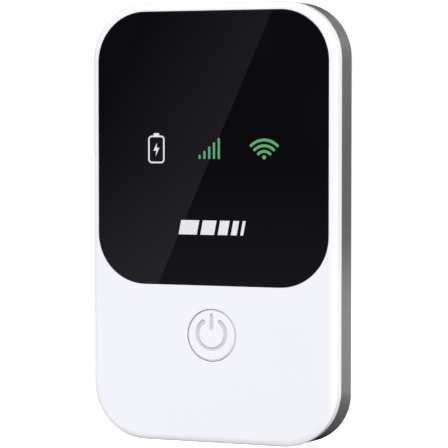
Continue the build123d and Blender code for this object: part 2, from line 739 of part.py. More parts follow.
def antenna_clips():
    """Spring clips that carry the signal from the board up to the flex antennas."""
    places = [(-14.0, -43.4, CEILING), (14.0, -36.3, CEILING), (25.5, -19.0, CEILING)]
    parts = []
    for x, y, face in places + [(-14.0, 33.4, POCKET_CEILING)]:
        top = face - FLEX_THICK
        foot = slab(1.6, 2.4, BOARD_HIGH, BOARD_HIGH + 0.15, at=(x, y))
        post = block((x - 0.6, x + 0.6), (y - 1.2, y - 1.05), (BOARD_HIGH, top))
        arm = block((x - 0.6, x + 0.6), (y - 1.2, y + 1.0), (top - 0.12, top))
        parts.append(foot + post + arm)
    return group(parts)


# ================================================================ screws
def housing_screw():
    """Pan-head screw with a cross recess and a ridged thread, tip towards the front."""
    radius, height = SCREW_HEAD
    head = fillet(back_rim(disc(radius, SCREW_SEAT - height, SCREW_SEAT)), 0.35)
    for angle in (0, 90):
        head -= Rot(0, 0, angle) * slab(1.7, 0.34, SCREW_SEAT - height, SCREW_SEAT - height + 0.6)
    shank = disc(SCREW_SHANK, SCREW_SEAT, SCREW_TIP)
    root = SCREW_SHANK - 0.1
    profile = Polyline((root, -0.2), (THREAD_CREST, -0.03), (THREAD_CREST, 0.03), (root, 0.2), close=True)
    ridge = revolve(Plane.XZ * make_face(profile), Axis.Z)
    count = int((SCREW_TIP - BOARD_LOW) / THREAD_PITCH)
    return head + shank + [Pos(0, 0, SCREW_TIP - 0.4 - i * THREAD_PITCH) * ridge for i in range(count)]


def housing_screws():
    screw = housing_screw()
    return group([Pos(x, y, 0) * screw for x, y in SCREW_PLACES])


# ================================================================ all nodes
def nodes():
    parts = {
        "front_shell": front_shell(),
        "lens_panel": lens_panel(),
        "lens_adhesive": lens_adhesive(),
        "battery_icon": inlays(battery_icon_faces()),
        "signal_icon": inlays(signal_icon_faces()),
        "wireless_icon": inlays(wireless_icon_faces()),
        "panel_mark": inlays(panel_mark_faces()),
        "light_diffusers": light_diffusers(),
        "light_shroud": light_shroud(),
        "status_leds": status_leds(),
        "power_button": power_button(),
        "power_symbol": power_symbol(),
        "power_switch_body": power_switch_body(),
        "power_switch_plunger": power_switch_plunger(),
        "mid_frame": mid_frame(),
        "rating_label": rating_label(),
        "back_cover": back_cover(),
        "battery_cell": battery_cell(),
        "battery_end_cap": battery_end_cap(),
        "battery_terminals": battery_terminals(),
        "battery_label": battery_label(),
        "battery_connector": battery_connector(),
        "battery_fingers": battery_fingers(),
        "main_board": main_board(),
        "baseband_chip": front_chip((-20.0, -10.0), (-8.0, 2.0), 0.9),
        "memory_chip": front_chip((-9.0, -4.0), (-8.0, 1.0), 0.8),
        "radio_chip": front_chip((9.0, 16.0), (-3.0, 4.0), 0.9),
        "amplifier_chips": amplifiers(),
        "power_chip": rear_chip((-13.0, -6.0), (-17.0, -10.0), 0.9),
        "wireless_chip": rear_chip((7.0, 15.0), (-19.0, -11.0), 0.9),
        "power_inductors": power_inductors(),
        "passives": passives(),
        "crystal": front_chip((3.2, 6.4), (3.6, 6.1), 0.7),
        "thermal_pad": thermal_pad(),
        "usb_shell": usb_shell(),
        "usb_tongue": usb_tongue(),
        "usb_contacts": usb_contacts(),
        "reset_switch_body": reset_switch_body(),
        "reset_switch_plunger": reset_switch_plunger(),
        "sim_card": sim_card(),
        "sim_card_pads": sim_card_pads(),
        "sim_holder_base": sim_holder_base(),
        "sim_holder_cage": sim_holder_cage(),
        "sim_contacts": sim_contacts(),
        "main_antenna": main_antenna(),
        "diversity_antenna": diversity_antenna(),
        "wireless_antenna": wireless_antenna(),
        "antenna_clips": antenna_clips(),
        "housing_screws": housing_screws(),
    }
    for name, (x, y) in FRONT_CANS.items():
        parts[name] = can(x, y, BOARD_HIGH, 1.5)
    for name, (x, y) in REAR_CANS.items():
        parts[name] = can(x, y, BOARD_LOW, -1.4)
    return parts


def write(parts):
    """Stands every piece up on the row's floor and writes one STEP for each node."""
    stand = Plane(origin=(0, CASE_DEPTH / 2, CASE_HEIGHT / 2), x_dir=(1, 0, 0), z_dir=(0, -1, 0))
    os.makedirs("parts", exist_ok=True)
    for name, shape in parts.items():
        export_step(stand.location * shape, f"parts/{name}.step")


write(nodes())
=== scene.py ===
"""Looks for the pocket mobile hotspot: materials, studio floor, soft light and the camera."""

import json
import math

import bmesh
import bpy
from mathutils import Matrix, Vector


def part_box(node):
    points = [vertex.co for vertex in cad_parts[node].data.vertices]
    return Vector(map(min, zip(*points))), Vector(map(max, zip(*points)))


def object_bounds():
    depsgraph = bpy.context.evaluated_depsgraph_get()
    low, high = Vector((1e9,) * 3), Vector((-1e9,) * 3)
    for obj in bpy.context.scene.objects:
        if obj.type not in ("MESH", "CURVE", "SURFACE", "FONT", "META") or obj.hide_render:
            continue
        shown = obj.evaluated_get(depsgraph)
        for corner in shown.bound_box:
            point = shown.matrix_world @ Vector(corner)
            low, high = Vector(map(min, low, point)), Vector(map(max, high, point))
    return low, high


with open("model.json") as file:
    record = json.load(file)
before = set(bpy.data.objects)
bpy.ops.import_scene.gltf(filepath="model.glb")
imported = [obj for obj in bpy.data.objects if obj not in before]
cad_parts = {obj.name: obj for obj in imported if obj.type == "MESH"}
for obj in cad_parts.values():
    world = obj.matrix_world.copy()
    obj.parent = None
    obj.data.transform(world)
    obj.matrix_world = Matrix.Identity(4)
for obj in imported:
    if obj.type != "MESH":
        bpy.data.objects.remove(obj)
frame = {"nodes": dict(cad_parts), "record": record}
cad_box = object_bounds()

# ---------------------------------------------------------------- colours, linear
SHELL_WHITE = (0.83, 0.83, 0.893)
COVER_WHITE = (0.82, 0.82, 0.86)
BAND_GREY = (0.40, 0.40, 0.40)
FRAME_GREY = (0.095, 0.095, 0.10)
PANEL_BLACK = (0.0016, 0.0016, 0.0034)
PRINT_GREEN = (0.082, 0.37, 0.14)
PRINT_WHITE = (0.77, 0.78, 0.82)
SYMBOL_GREY = (0.62, 0.62, 0.66)
MILKY = (0.72, 0.72, 0.70)
BLACK_PLASTIC = (0.018, 0.018, 0.02)
EPOXY_BLACK = (0.02, 0.02, 0.022)
SOLDER_MASK = (0.008, 0.075, 0.03)
COPPER_UNDER_MASK = (0.02, 0.14, 0.055)
NICKEL = (0.60, 0.585, 0.55)
STEEL = (0.55, 0.55, 0.56)
BLACK_ZINC = (0.07, 0.07, 0.075)
GOLD = (0.86, 0.60, 0.22)
COPPER = (0.75, 0.38, 0.20)
AMBER = (0.75, 0.50, 0.12)
CERAMIC_TAN = (0.42, 0.27, 0.15)
FERRITE = (0.045, 0.045, 0.05)
PAD_BLUE = (0.20, 0.36, 0.50)
FOAM_BLACK = (0.02, 0.02, 0.02)
FOIL = (0.62, 0.63, 0.65)
LABEL_SILVER = (0.42, 0.43, 0.45)
LABEL_WHITE = (0.72, 0.72, 0.71)
LABEL_INK = (0.035, 0.035, 0.04)
CARD_WHITE = (0.78, 0.78, 0.77)
# colour mixed in by ambient occlusion, deep in narrow gaps and seams
GAP_TINT = (0.32, 0.30, 0.27)
FLOOR_WHITE = (0.97, 0.97, 0.97)

# ---------------------------------------------------------------- sizes of surface detail, metres
MM = 0.001
SMUDGE = 14 * MM
FINE_SMUDGE = SMUDGE / 9
SHELL_DRIFT = SMUDGE * 1.7
MASK_DRIFT = SMUDGE / 2
MOULD_DRIFT = SMUDGE / 3
TARNISH = SMUDGE / 4
ORANGE_PEEL = 2.2 * MM
PANEL_WAVE = ORANGE_PEEL * 3
SPARK_GRAIN = 0.22 * MM
FLAKE = 0.12 * MM
INK_CLOUD = 0.35 * MM
INK_GRAIN = 0.2 * MM
DRAWN_GRAIN = 0.5 * MM
TRACK_PITCH = 2.2 * MM
TRACK_FIELD = 9 * MM
FOIL_FOLD = 5 * MM
FOIL_GRAIN = 0.4 * MM
FOAM_GRAIN = 0.2 * MM
CERAMIC_GRAIN = 0.15 * MM
FILLER_GRAIN = 0.6 * MM
LABEL_GRAIN = 0.3 * MM
EDGE_WEAR = 0.22 * MM
CREVICE = 0.45 * MM
# radius for finding the symbol's upward-facing edges, which get painted shade
PAINTED_SHADE_REACH = 0.4 * MM
BAND_CORNER = 12 * MM
LACQUER_REACH = 0.9 * MM  # how far in from the case outline the lacquer goes

# ---------------------------------------------------------------- depths of relief, metres
PEEL_DEPTH = 0.0012 * MM
PANEL_WAVE_DEPTH = 0.0006 * MM
SATIN_DEPTH = 0.006 * MM
LACQUER_DEPTH = 0.004 * MM
MOULD_DEPTH = 0.008 * MM
INK_DEPTH = 0.003 * MM
DRAWN_DEPTH = 0.004 * MM
TRACK_DEPTH = 0.02 * MM
FOLD_DEPTH = 0.05 * MM
FOIL_DEPTH = 0.004 * MM
FOAM_DEPTH = 0.03 * MM
CERAMIC_DEPTH = 0.005 * MM
FILLER_DEPTH = 0.02 * MM
PAPER_DEPTH = 0.004 * MM

# ---------------------------------------------------------------- roughness, least and most
SHELL_GLOSS = (0.16, 0.24)
BUTTON_GLOSS = (0.20, 0.28)
SATIN_GLOSS = (0.38, 0.50)
LACQUER_GLOSS = (0.09, 0.13)
BARE_BAND_GLOSS = (0.42, 0.54)
PANEL_GLOSS = (0.006, 0.02)
PRINT_GLOSS = (0.25, 0.40)
SUNK_INK_GLOSS = (0.30, 0.45)
MOULD_GLOSS = (0.40, 0.55)
CHIP_GLOSS = (0.50, 0.65)
FERRITE_GLOSS = (0.55, 0.70)
CARD_GLOSS = (0.35, 0.50)
STEEL_GLOSS = (0.22, 0.38)
PORT_GLOSS = (0.20, 0.34)
PLATED_GLOSS = (0.30, 0.45)
GOLD_GLOSS = (0.16, 0.30)
MASK_GLOSS = (0.25, 0.40)
FOIL_GLOSS = (0.28, 0.45)
MATTE_GLOSS = (0.70, 0.90)
LABEL_GLOSS = (0.45, 0.60)

# ---------------------------------------------------------------- patterns
CLOUDS = (0.3, 0.7)  # the part of a noise pattern's range that nearly all of it lies in
HANDLED_SPAN = (0.35, 0.65)
FINE_SHARE = 0.25  # of the smudges
WIPE_GLOSS_SPAN = (0.4, 0.75)
WIPE_COLOR_SPAN = (0.5, 0.8)
WIPE_STRETCH = (1.0, 1.0, 0.35)
TARNISH_SPAN = (0.35, 0.7)
FLAKE_SPAN = (0.2, 0.9)
TRACK_SPAN = (0.45, 0.6)
FIELD_SPAN = (0.45, 0.55)
EDGE_SPAN = (0.995, 0.90)  # cosine between the rounded and the flat normal
RISE_SPAN = (0.02, 0.35)  # height of the rounded normal
GAP_SPAN = (0.75, 0.15)  # openness of a gap to the outside
SKIN_FADE = 0.8  # share of the lacquer's reach where it starts to thin
BEVEL_SAMPLES = 6
SHADE_SAMPLES = 8
GRAIN_UP = (1.0, 1.0, 12.0)
GRAIN_BACK = (1.0, 12.0, 1.0)
ACRYLIC_IOR = 1.49
RESIN_IOR = 1.5


# ---------------------------------------------------------------- plain bars on the labels
# A bar is ((left, right), (low, high)), as fractions of the label's width and height.
def bar_rows(ends, low, high, pitch):
    """Rows of bars from the left margin to each of the ends, downwards from the first."""
    return [((0.12, end), (low - pitch * row, high - pitch * row)) for row, end in enumerate(ends)]


LABEL_FRAME = ((0.04, 0.96), (0.05, 0.95))  # outside and inside of the frame's line
BATTERY_BARS = [
    ((0.12, 0.88), (0.78, 0.90)),
    *bar_rows((0.80, 0.72, 0.84, 0.58), 0.66, 0.68, 0.07),
    ((0.12, 0.30), (0.12, 0.30)),
    ((0.36, 0.54), (0.12, 0.30)),
]
RATING_BARS = [
    ((0.12, 0.45), (0.72, 0.88)),
    ((0.66, 0.88), (0.12, 0.40)),
    *bar_rows((0.56, 0.50, 0.58, 0.44), 0.56, 0.59, 0.11),
]

# ---------------------------------------------------------------- camera
CAMERA_PLACE = (0.19027, -0.46698, 0.07205)
CAMERA_YAW = 22.148
CAMERA_TILT = -2.654
CAMERA_LENS = 180.42
CAMERA_NEAR = 0.01

# ---------------------------------------------------------------- floor
FLOOR_RADIUS = 4.0
FLOOR_DROP = 0.00005
FLOOR_GLOW = 1.0
FLOOR_SIDES = 128

# ---------------------------------------------------------------- surround
# Spans are of a direction's X, Y or Z, and the brightness changes smoothly across them.
BACKDROP = 1.1
AMBIENT = (1.15, 1.295)  # soft light from the left and from the right
AMBIENT_ACROSS = (-0.9, 0.6)
AMBIENT_BELOW = (0.53, 1.0)  # how much of it is left from below, and from above
AMBIENT_UP = (-0.7, 0.1)
AMBIENT_BELOW_RIGHT = (0.0, 0.95)  # the least that is left anywhere, on the left and on the right
AMBIENT_RIGHT = (0.0, 0.7)
FRONT_TO_BACK = (-0.1, 0.3)
LEFT_SHADE = (0.35, 1.0)  # what is left of the back room above the horizon, from left to right
LEFT_SHADE_ACROSS = (-0.35, 0.1)
HORIZON = (-0.06, 0.1)
BELOW_ACROSS = (-0.33, 0.20)  # below the horizon the back room goes dark towards the left
LEFT_GLOW = ((-0.85, -0.45), (0.45, 0.0))  # span and brightness
RIGHT_GLOW = ((0.2, 0.8), (0.0, 0.5))
# The rooms that gloss reflects, as (height of the direction, brightness).
FRONT_ROOM = (
    (-1.0, 0.02),
    (-0.3, 0.05),
    (-0.12, 0.30),
    (-0.068, 0.180),
    (-0.022, 0.063),
    (0.25, 0.067),
    (0.8, 1.1),
)
BACK_ROOM = (
    (-0.5, 0.15),
    (-0.40, 0.20),
    (-0.27, 0.27),
    (-0.19, 0.34),
    (-0.12, 0.48),
    (-0.072, 0.56),
    (-0.060, 0.28),
    (-0.01, 0.27),
    (0.03, 0.34),
    (0.14, 0.40),
    (0.23, 0.48),
    (0.33, 0.36),
    (0.9, 1.1),
)

# ---------------------------------------------------------------- lamps
WARM = (1.0, 1.0, 0.92)
OVERHEAD = {"place": (0.1, -0.15, 1.3), "size": (0.9, 0.9), "power": 2.6}
BROW = {"place": (-0.03, -0.16, 0.30), "size": (0.3, 0.1), "power": 0.06}
BROW_TARGET = (0.0, 0.0, 0.10)
RIGHT_STRIP = {"place": (0.95, -0.35, 0.25), "size": (0.5, 1.2), "power": 2.0, "color": WARM}
CARD_EDGE = ((-0.2781, -0.607, -0.0129), (-0.2150, -0.607, 0.1273))
CARD_SIZE = (0.5, 1.0)
CARD = {"size": CARD_SIZE, "power": 0.33, "color": (0.95, 0.95, 1.1)}
CARD_FADE = (0.833, 0.0, -0.553)  # the card brightens this way
CARD_FADE_SPAN = (-0.305, -0.245)
CARD_MOST = 2.0
INWARD = Vector((0, 1, 0))


SOCKETS = {
    "ior": "IOR",
    "metallic": "Metallic",
    "roughness": "Roughness",
    "specular": "Specular IOR Level",
    "coat": "Coat Weight",
    "coat_roughness": "Coat Roughness",
    "glow": "Emission Strength",
}


def toned(color, factor, lift=0.0):
    """The colour made darker or paler by a factor, then lifted."""
    return tuple(min(1.0, part * factor + lift) for part in color)


# ================================================================ node helpers
class Paint:
    """A material with one Principled shader, and short ways to build patterns for it."""

    def __init__(self, name, color, **sockets):
        self.material = bpy.data.materials.new(name)
        self.material.use_nodes = True
        self.tree = self.material.node_tree
        self.shader = self.tree.nodes["Principled BSDF"]
        self.shader.inputs["Base Color"].default_value = (*color, 1)
        for socket, value in sockets.items():
            self.shader.inputs[SOCKETS[socket]].default_value = value
        self.place = self.node("ShaderNodeTexCoord").outputs["Object"]
        self.bumps = None

    def node(self, kind, **settings):
        node = self.tree.nodes.new(kind)
        for key, value in settings.items():
            setattr(node, key, value)
        return node

    def feed(self, target, value):
        """Sets a socket to a number or colour, or links it to another socket."""
        if isinstance(value, bpy.types.NodeSocket):
            self.tree.links.new(value, target)
        elif isinstance(value, tuple) and len(value) == 3 and target.type == "RGBA":
            target.default_value = (*value, 1)
        else:
            target.default_value = value

    def math(self, operation, a, b=0.0):
        node = self.node("ShaderNodeMath", operation=operation)
        self.feed(node.inputs[0], a)
        self.feed(node.inputs[1], b)
        return node.outputs[0]

    def split(self, vector):
        """The X, Y and Z of a vector, by index or by name."""
        node = self.node("ShaderNodeSeparateXYZ")
        self.feed(node.inputs[0], vector)
        return node.outputs

    def ramp(self, value, low, high, to_low=0.0, to_high=1.0):
        """Maps a value from one range to another, smoothly and held at both ends."""
        node = self.node("ShaderNodeMapRange", interpolation_type="SMOOTHSTEP")
        for index, number in enumerate((value, low, high, to_low, to_high)):
            self.feed(node.inputs[index], number)
        return node.outputs[0]

    def mix(self, factor, a, b):
        node = self.node("ShaderNodeMix", data_type="RGBA")
        self.feed(node.inputs[0], factor)
        self.feed(node.inputs[6], a)
        self.feed(node.inputs[7], b)
        return node.outputs[2]

    def tint(self, pattern, amount, a, b):
        """Mixes two colours where a pattern is high, up to an amount."""
        return self.mix(self.math("MULTIPLY", pattern, amount), a, b)

    def mottled(self, pattern, color, factor):
        """The colour, darker or paler by a factor where a cloudy pattern is high."""
        return self.mix(self.ramp(pattern, *CLOUDS), color, toned(color, factor))

    def stretch(self, scale):
        """Coordinates scaled along each axis, for grain that runs one way."""
        node = self.node("ShaderNodeMapping")
        self.feed(node.inputs["Vector"], self.place)
        node.inputs["Scale"].default_value = scale
        return node.outputs[0]

    def noise(self, size, detail=3.0, place=None):
        """Cloudy pattern whose blotches are about as large as size, in metres."""
        node = self.node("ShaderNodeTexNoise")
        self.feed(node.inputs["Vector"], place or self.place)
        node.inputs["Scale"].default_value = 1 / size
        node.inputs["Detail"].default_value = detail
        return node.outputs["Fac"]

    def cells(self, size):
        """A random number for each cell of a pattern of cells about as large as size, in metres."""
        node = self.node("ShaderNodeTexVoronoi")
        self.feed(node.inputs["Vector"], self.place)
        node.inputs["Scale"].default_value = 1 / size
        return node.outputs["Color"]

    def patch(self, node, across, up):
        """1 inside a rectangle on an upright node's face, in fractions of its width and height."""
        low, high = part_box(node)
        place = self.split(self.place)
        inside = 1.0
        for axis, (start, end) in ((0, across), (2, up)):
            span = high[axis] - low[axis]
            check = self.node("ShaderNodeMath", operation="COMPARE")
            self.feed(check.inputs[0], place[axis])
            self.feed(check.inputs[1], low[axis] + span * (start + end) / 2)
            self.feed(check.inputs[2], span * (end - start) / 2)
            inside = self.math("MULTIPLY", check.outputs[0], inside)
        return inside

    def skin(self, node, corner, depth):
        """1 on the outside of an upright node with rounded corners, 0 deeper inside its outline."""
        low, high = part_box(node)
        place = self.split(self.place)
        past = []
        for axis in (0, 2):
            offset = self.math("SUBTRACT", place[axis], (low[axis] + high[axis]) / 2)
            reach = (high[axis] - low[axis]) / 2 - corner
            past.append(self.math("SUBTRACT", self.math("ABSOLUTE", offset), reach))
        turned = [self.math("POWER", self.math("MAXIMUM", side, 0.0), 2.0) for side in past]
        curved = self.math("SQRT", self.math("ADD", *turned))
        straight = self.math("MINIMUM", self.math("MAXIMUM", *past), 0.0)
        outward = self.math("SUBTRACT", self.math("ADD", curved, straight), corner)
        return self.ramp(outward, -depth, -SKIN_FADE * depth)

    def rounded_normal(self, radius, samples):
        node = self.node("ShaderNodeBevel", samples=samples)
        node.inputs["Radius"].default_value = radius
        return node.outputs[0]

    def edges(self):
        """1 along sharp edges, 0 on flat faces."""
        dot = self.node("ShaderNodeVectorMath", operation="DOT_PRODUCT")
        self.feed(dot.inputs[0], self.rounded_normal(EDGE_WEAR, BEVEL_SAMPLES))
        self.feed(dot.inputs[1], self.node("ShaderNodeNewGeometry").outputs["Normal"])
        return self.ramp(dot.outputs["Value"], *EDGE_SPAN)

    def upper_edges(self, radius):
        """1 along the edges that face up, 0 elsewhere."""
        return self.ramp(self.split(self.rounded_normal(radius, SHADE_SAMPLES))["Z"], *RISE_SPAN)

    def crevices(self):
        """1 deep in gaps, 0 on open faces."""
        shade = self.node("ShaderNodeAmbientOcclusion", samples=SHADE_SAMPLES)
        shade.inputs["Distance"].default_value = CREVICE
        return self.ramp(shade.outputs["AO"], *GAP_SPAN)

    def rubbed(self, body, color, amount, factor, lift=0.0):
        """The body's colour with paler edges."""
        return self.tint(self.edges(), amount, body, toned(color, factor, lift))

    def darkened_gaps(self, body, amount):
        """The body's colour, darker and browner where ambient occlusion finds a narrow gap."""
        # darker, browner colour mixed in by ambient occlusion, deep in narrow gaps and seams
        return self.tint(self.crevices(), amount, body, GAP_TINT)

    def handled(self, gloss):
        """A roughness that drifts between two others, as it does on a handled surface."""
        broad = self.math("MULTIPLY", self.noise(SMUDGE, detail=4.0), 1 - FINE_SHARE)
        fine = self.math("MULTIPLY", self.noise(FINE_SMUDGE, detail=2.0), FINE_SHARE)
        return self.ramp(self.math("ADD", broad, fine), *HANDLED_SPAN, *gloss)

    def bump(self, height, depth):
        """Adds relief of a given depth, in metres, on top of what is there already."""
        node = self.node("ShaderNodeBump")
        self.feed(node.inputs["Height"], height)
        node.inputs["Distance"].default_value = depth
        if self.bumps:
            self.feed(node.inputs["Normal"], self.bumps)
        self.bumps = node.outputs[0]
        self.feed(self.shader.inputs["Normal"], self.bumps)

    def color(self, value):
        self.feed(self.shader.inputs["Base Color"], value)

    def roughness(self, value):
        self.feed(self.shader.inputs["Roughness"], value)


# ================================================================ case materials
def moulded_gloss(name, color, gloss=SHELL_GLOSS, coat=0.6):
    """Polished injection-moulded plastic: faint orange peel, smudges and darker, browner seams."""
    paint = Paint(name, color, ior=ACRYLIC_IOR, coat=coat, coat_roughness=0.06)
    body = paint.mottled(paint.noise(SHELL_DRIFT), color, factor=0.99)
    paint.color(paint.darkened_gaps(body, amount=0.2))
    paint.roughness(paint.handled(gloss))
    paint.bump(paint.noise(ORANGE_PEEL, detail=1.0), PEEL_DEPTH)
    return paint.material


def moulded_satin(name, color):
    """Spark-eroded satin plastic."""
    paint = Paint(name, color, ior=ACRYLIC_IOR)
    body = paint.mottled(paint.noise(SMUDGE), color, factor=0.992)
    body = paint.darkened_gaps(body, amount=0.4)
    paint.color(paint.rubbed(body, color, amount=0.2, factor=1.05))
    paint.roughness(paint.handled(SATIN_GLOSS))
    paint.bump(paint.noise(SPARK_GRAIN, detail=2.0), SATIN_DEPTH)
    return paint.material


def lacquered_band():
    """Satin grey metallic lacquer, brighter on rubbed edges, over a bare dark moulding inside."""
    paint = Paint("band_lacquer", BAND_GREY, ior=RESIN_IOR)
    outside = paint.skin("mid_frame", BAND_CORNER, LACQUER_REACH)
    flakes = paint.ramp(paint.cells(FLAKE), *FLAKE_SPAN)
    drift = paint.ramp(paint.noise(SMUDGE), *CLOUDS)
    body = paint.mix(flakes, toned(BAND_GREY, 0.9), toned(BAND_GREY, 1.1))
    body = paint.tint(drift, 0.3, body, toned(BAND_GREY, 0.9))
    body = paint.rubbed(body, BAND_GREY, amount=0.45, factor=1.7)
    body = paint.darkened_gaps(body, amount=0.4)
    bare = paint.mix(drift, FRAME_GREY, toned(FRAME_GREY, 0.9))
    paint.color(paint.mix(outside, bare, body))
    paint.feed(paint.shader.inputs["Metallic"], outside)
    bare_gloss = paint.handled(BARE_BAND_GLOSS)
    paint.roughness(paint.ramp(outside, 0.0, 1.0, bare_gloss, paint.handled(LACQUER_GLOSS)))
    paint.bump(paint.noise(SPARK_GRAIN, detail=2.0), LACQUER_DEPTH)
    return paint.material


def panel_gloss():
    """Black print under clear acrylic: deep, glossy, with a few wipe marks."""
    paint = Paint("panel_acrylic", PANEL_BLACK, ior=ACRYLIC_IOR)
    wipe = paint.noise(SMUDGE, detail=5.0, place=paint.stretch(WIPE_STRETCH))
    paint.roughness(paint.ramp(wipe, *WIPE_GLOSS_SPAN, *PANEL_GLOSS))
    paint.color(paint.mix(paint.ramp(wipe, *WIPE_COLOR_SPAN), PANEL_BLACK, toned(PANEL_BLACK, 1.6)))
    paint.bump(paint.noise(PANEL_WAVE, detail=0.0), PANEL_WAVE_DEPTH)
    return paint.material


def screen_print(name, color, glow=0.0):
    """Ink of a screen print, slightly uneven, with an optional light behind it."""
    paint = Paint(name, color, ior=RESIN_IOR, glow=glow)
    uneven = paint.ramp(paint.noise(INK_CLOUD), *CLOUDS)
    ink = paint.mix(uneven, color, toned(color, 0.85))
    paint.color(ink)
    paint.roughness(paint.ramp(uneven, 0.0, 1.0, *PRINT_GLOSS))
    if glow:
        paint.feed(paint.shader.inputs["Emission Color"], ink)
    paint.bump(paint.noise(INK_GRAIN), INK_DEPTH)
    return paint.material


def sunk_ink_with_painted_shade(name, color):
    """Ink in a shallow engraving, darkened along the edges that face up: painted shade from the
    engraving's upper walls.
    """
    paint = Paint(name, color, ior=RESIN_IOR)
    uneven = paint.ramp(paint.noise(INK_CLOUD), *CLOUDS)
    ink = paint.mix(uneven, color, toned(color, 0.95))
    # painted shade: the ink is much darker along its upward-facing edges, standing in for the
    # shadow of the engraving's walls
    paint.color(paint.mix(paint.upper_edges(PAINTED_SHADE_REACH), ink, toned(color, 0.36)))
    paint.roughness(paint.ramp(uneven, 0.0, 1.0, *SUNK_INK_GLOSS))
    paint.bump(paint.noise(INK_GRAIN), INK_DEPTH)
    return paint.material


# ================================================================ inner materials
def plain_moulding(name, color, gloss=MOULD_GLOSS):
    """Engineering plastic, ceramic or epoxy with a fine grain and paler rubbed edges."""
    paint = Paint(name, color, ior=RESIN_IOR)
    body = paint.mottled(paint.noise(MOULD_DRIFT), color, factor=0.8)
    paint.color(paint.rubbed(body, color, amount=0.35, factor=2.2, lift=0.01))
    paint.roughness(paint.handled(gloss))
    paint.bump(paint.noise(SPARK_GRAIN), MOULD_DEPTH)
    return paint.material


def metal(name, color, gloss=STEEL_GLOSS, grain=GRAIN_UP):
    """Sheet or turned metal with drawn grain, faint tarnish and bright edges."""
    paint = Paint(name, color, metallic=1.0)
    lines = paint.noise(DRAWN_GRAIN, detail=4.0, place=paint.stretch(grain))
    tarnish = paint.ramp(paint.noise(TARNISH, detail=4.0), *TARNISH_SPAN)
    body = paint.tint(tarnish, 0.5, color, toned(color, 0.78))
    paint.color(paint.rubbed(body, color, amount=0.4, factor=1.25))
    paint.roughness(paint.ramp(lines, *CLOUDS, *gloss))
    paint.bump(lines, DRAWN_DEPTH)
    return paint.material


def board_mask():
    """Solder mask over copper: fine parallel tracks in some of the board's fields."""
    paint = Paint("board_mask", SOLDER_MASK, ior=RESIN_IOR)
    wave = paint.node("ShaderNodeTexWave", wave_type="BANDS", bands_direction="DIAGONAL")
    paint.feed(wave.inputs["Vector"], paint.place)
    wave.inputs["Scale"].default_value = 1 / TRACK_PITCH
    field = paint.ramp(paint.cells(TRACK_FIELD), *FIELD_SPAN)
    track = paint.math("MULTIPLY", paint.ramp(wave.outputs["Fac"], *TRACK_SPAN), field)
    paint.color(paint.mix(track, SOLDER_MASK, COPPER_UNDER_MASK))
    paint.roughness(paint.ramp(paint.noise(MASK_DRIFT), *CLOUDS, *MASK_GLOSS))
    paint.bump(track, TRACK_DEPTH)
    return paint.material


def foil_pouch():
    """Wrapped foil of a lithium cell, gently wrinkled."""
    paint = Paint("cell_foil", FOIL, metallic=0.85)
    folds = paint.noise(FOIL_FOLD, detail=4.0)
    paint.color(paint.mottled(folds, FOIL, factor=0.85))
    paint.roughness(paint.ramp(folds, *CLOUDS, *FOIL_GLOSS))
    paint.bump(folds, FOLD_DEPTH)
    paint.bump(paint.noise(FOIL_GRAIN), FOIL_DEPTH)
    return paint.material


def soft_matte(name, color, size, depth):
    """Foam, gap filler or bare ceramic: matte with a grain of the given size."""
    paint = Paint(name, color)
    grain = paint.noise(size, detail=4.0)
    paint.color(paint.mottled(grain, color, factor=0.82))
    paint.roughness(paint.ramp(grain, *CLOUDS, *MATTE_GLOSS))
    paint.bump(grain, depth)
    return paint.material


def printed_label(name, node, paper, bars):
    """Matte label with a thin frame and plain bars."""
    paint = Paint(name, paper)
    grain = paint.noise(LABEL_GRAIN, detail=4.0)
    outer, inner = (paint.patch(node, span, span) for span in LABEL_FRAME)
    printed = paint.math("SUBTRACT", outer, inner)
    for across, up in bars:
        printed = paint.math("MAXIMUM", printed, paint.patch(node, across, up))
    paint.color(paint.mix(printed, paint.mottled(grain, paper, factor=0.9), LABEL_INK))
    paint.roughness(paint.ramp(grain, *CLOUDS, *LABEL_GLOSS))
    paint.bump(grain, PAPER_DEPTH)
    paint.bump(printed, INK_DEPTH)
    return paint.material


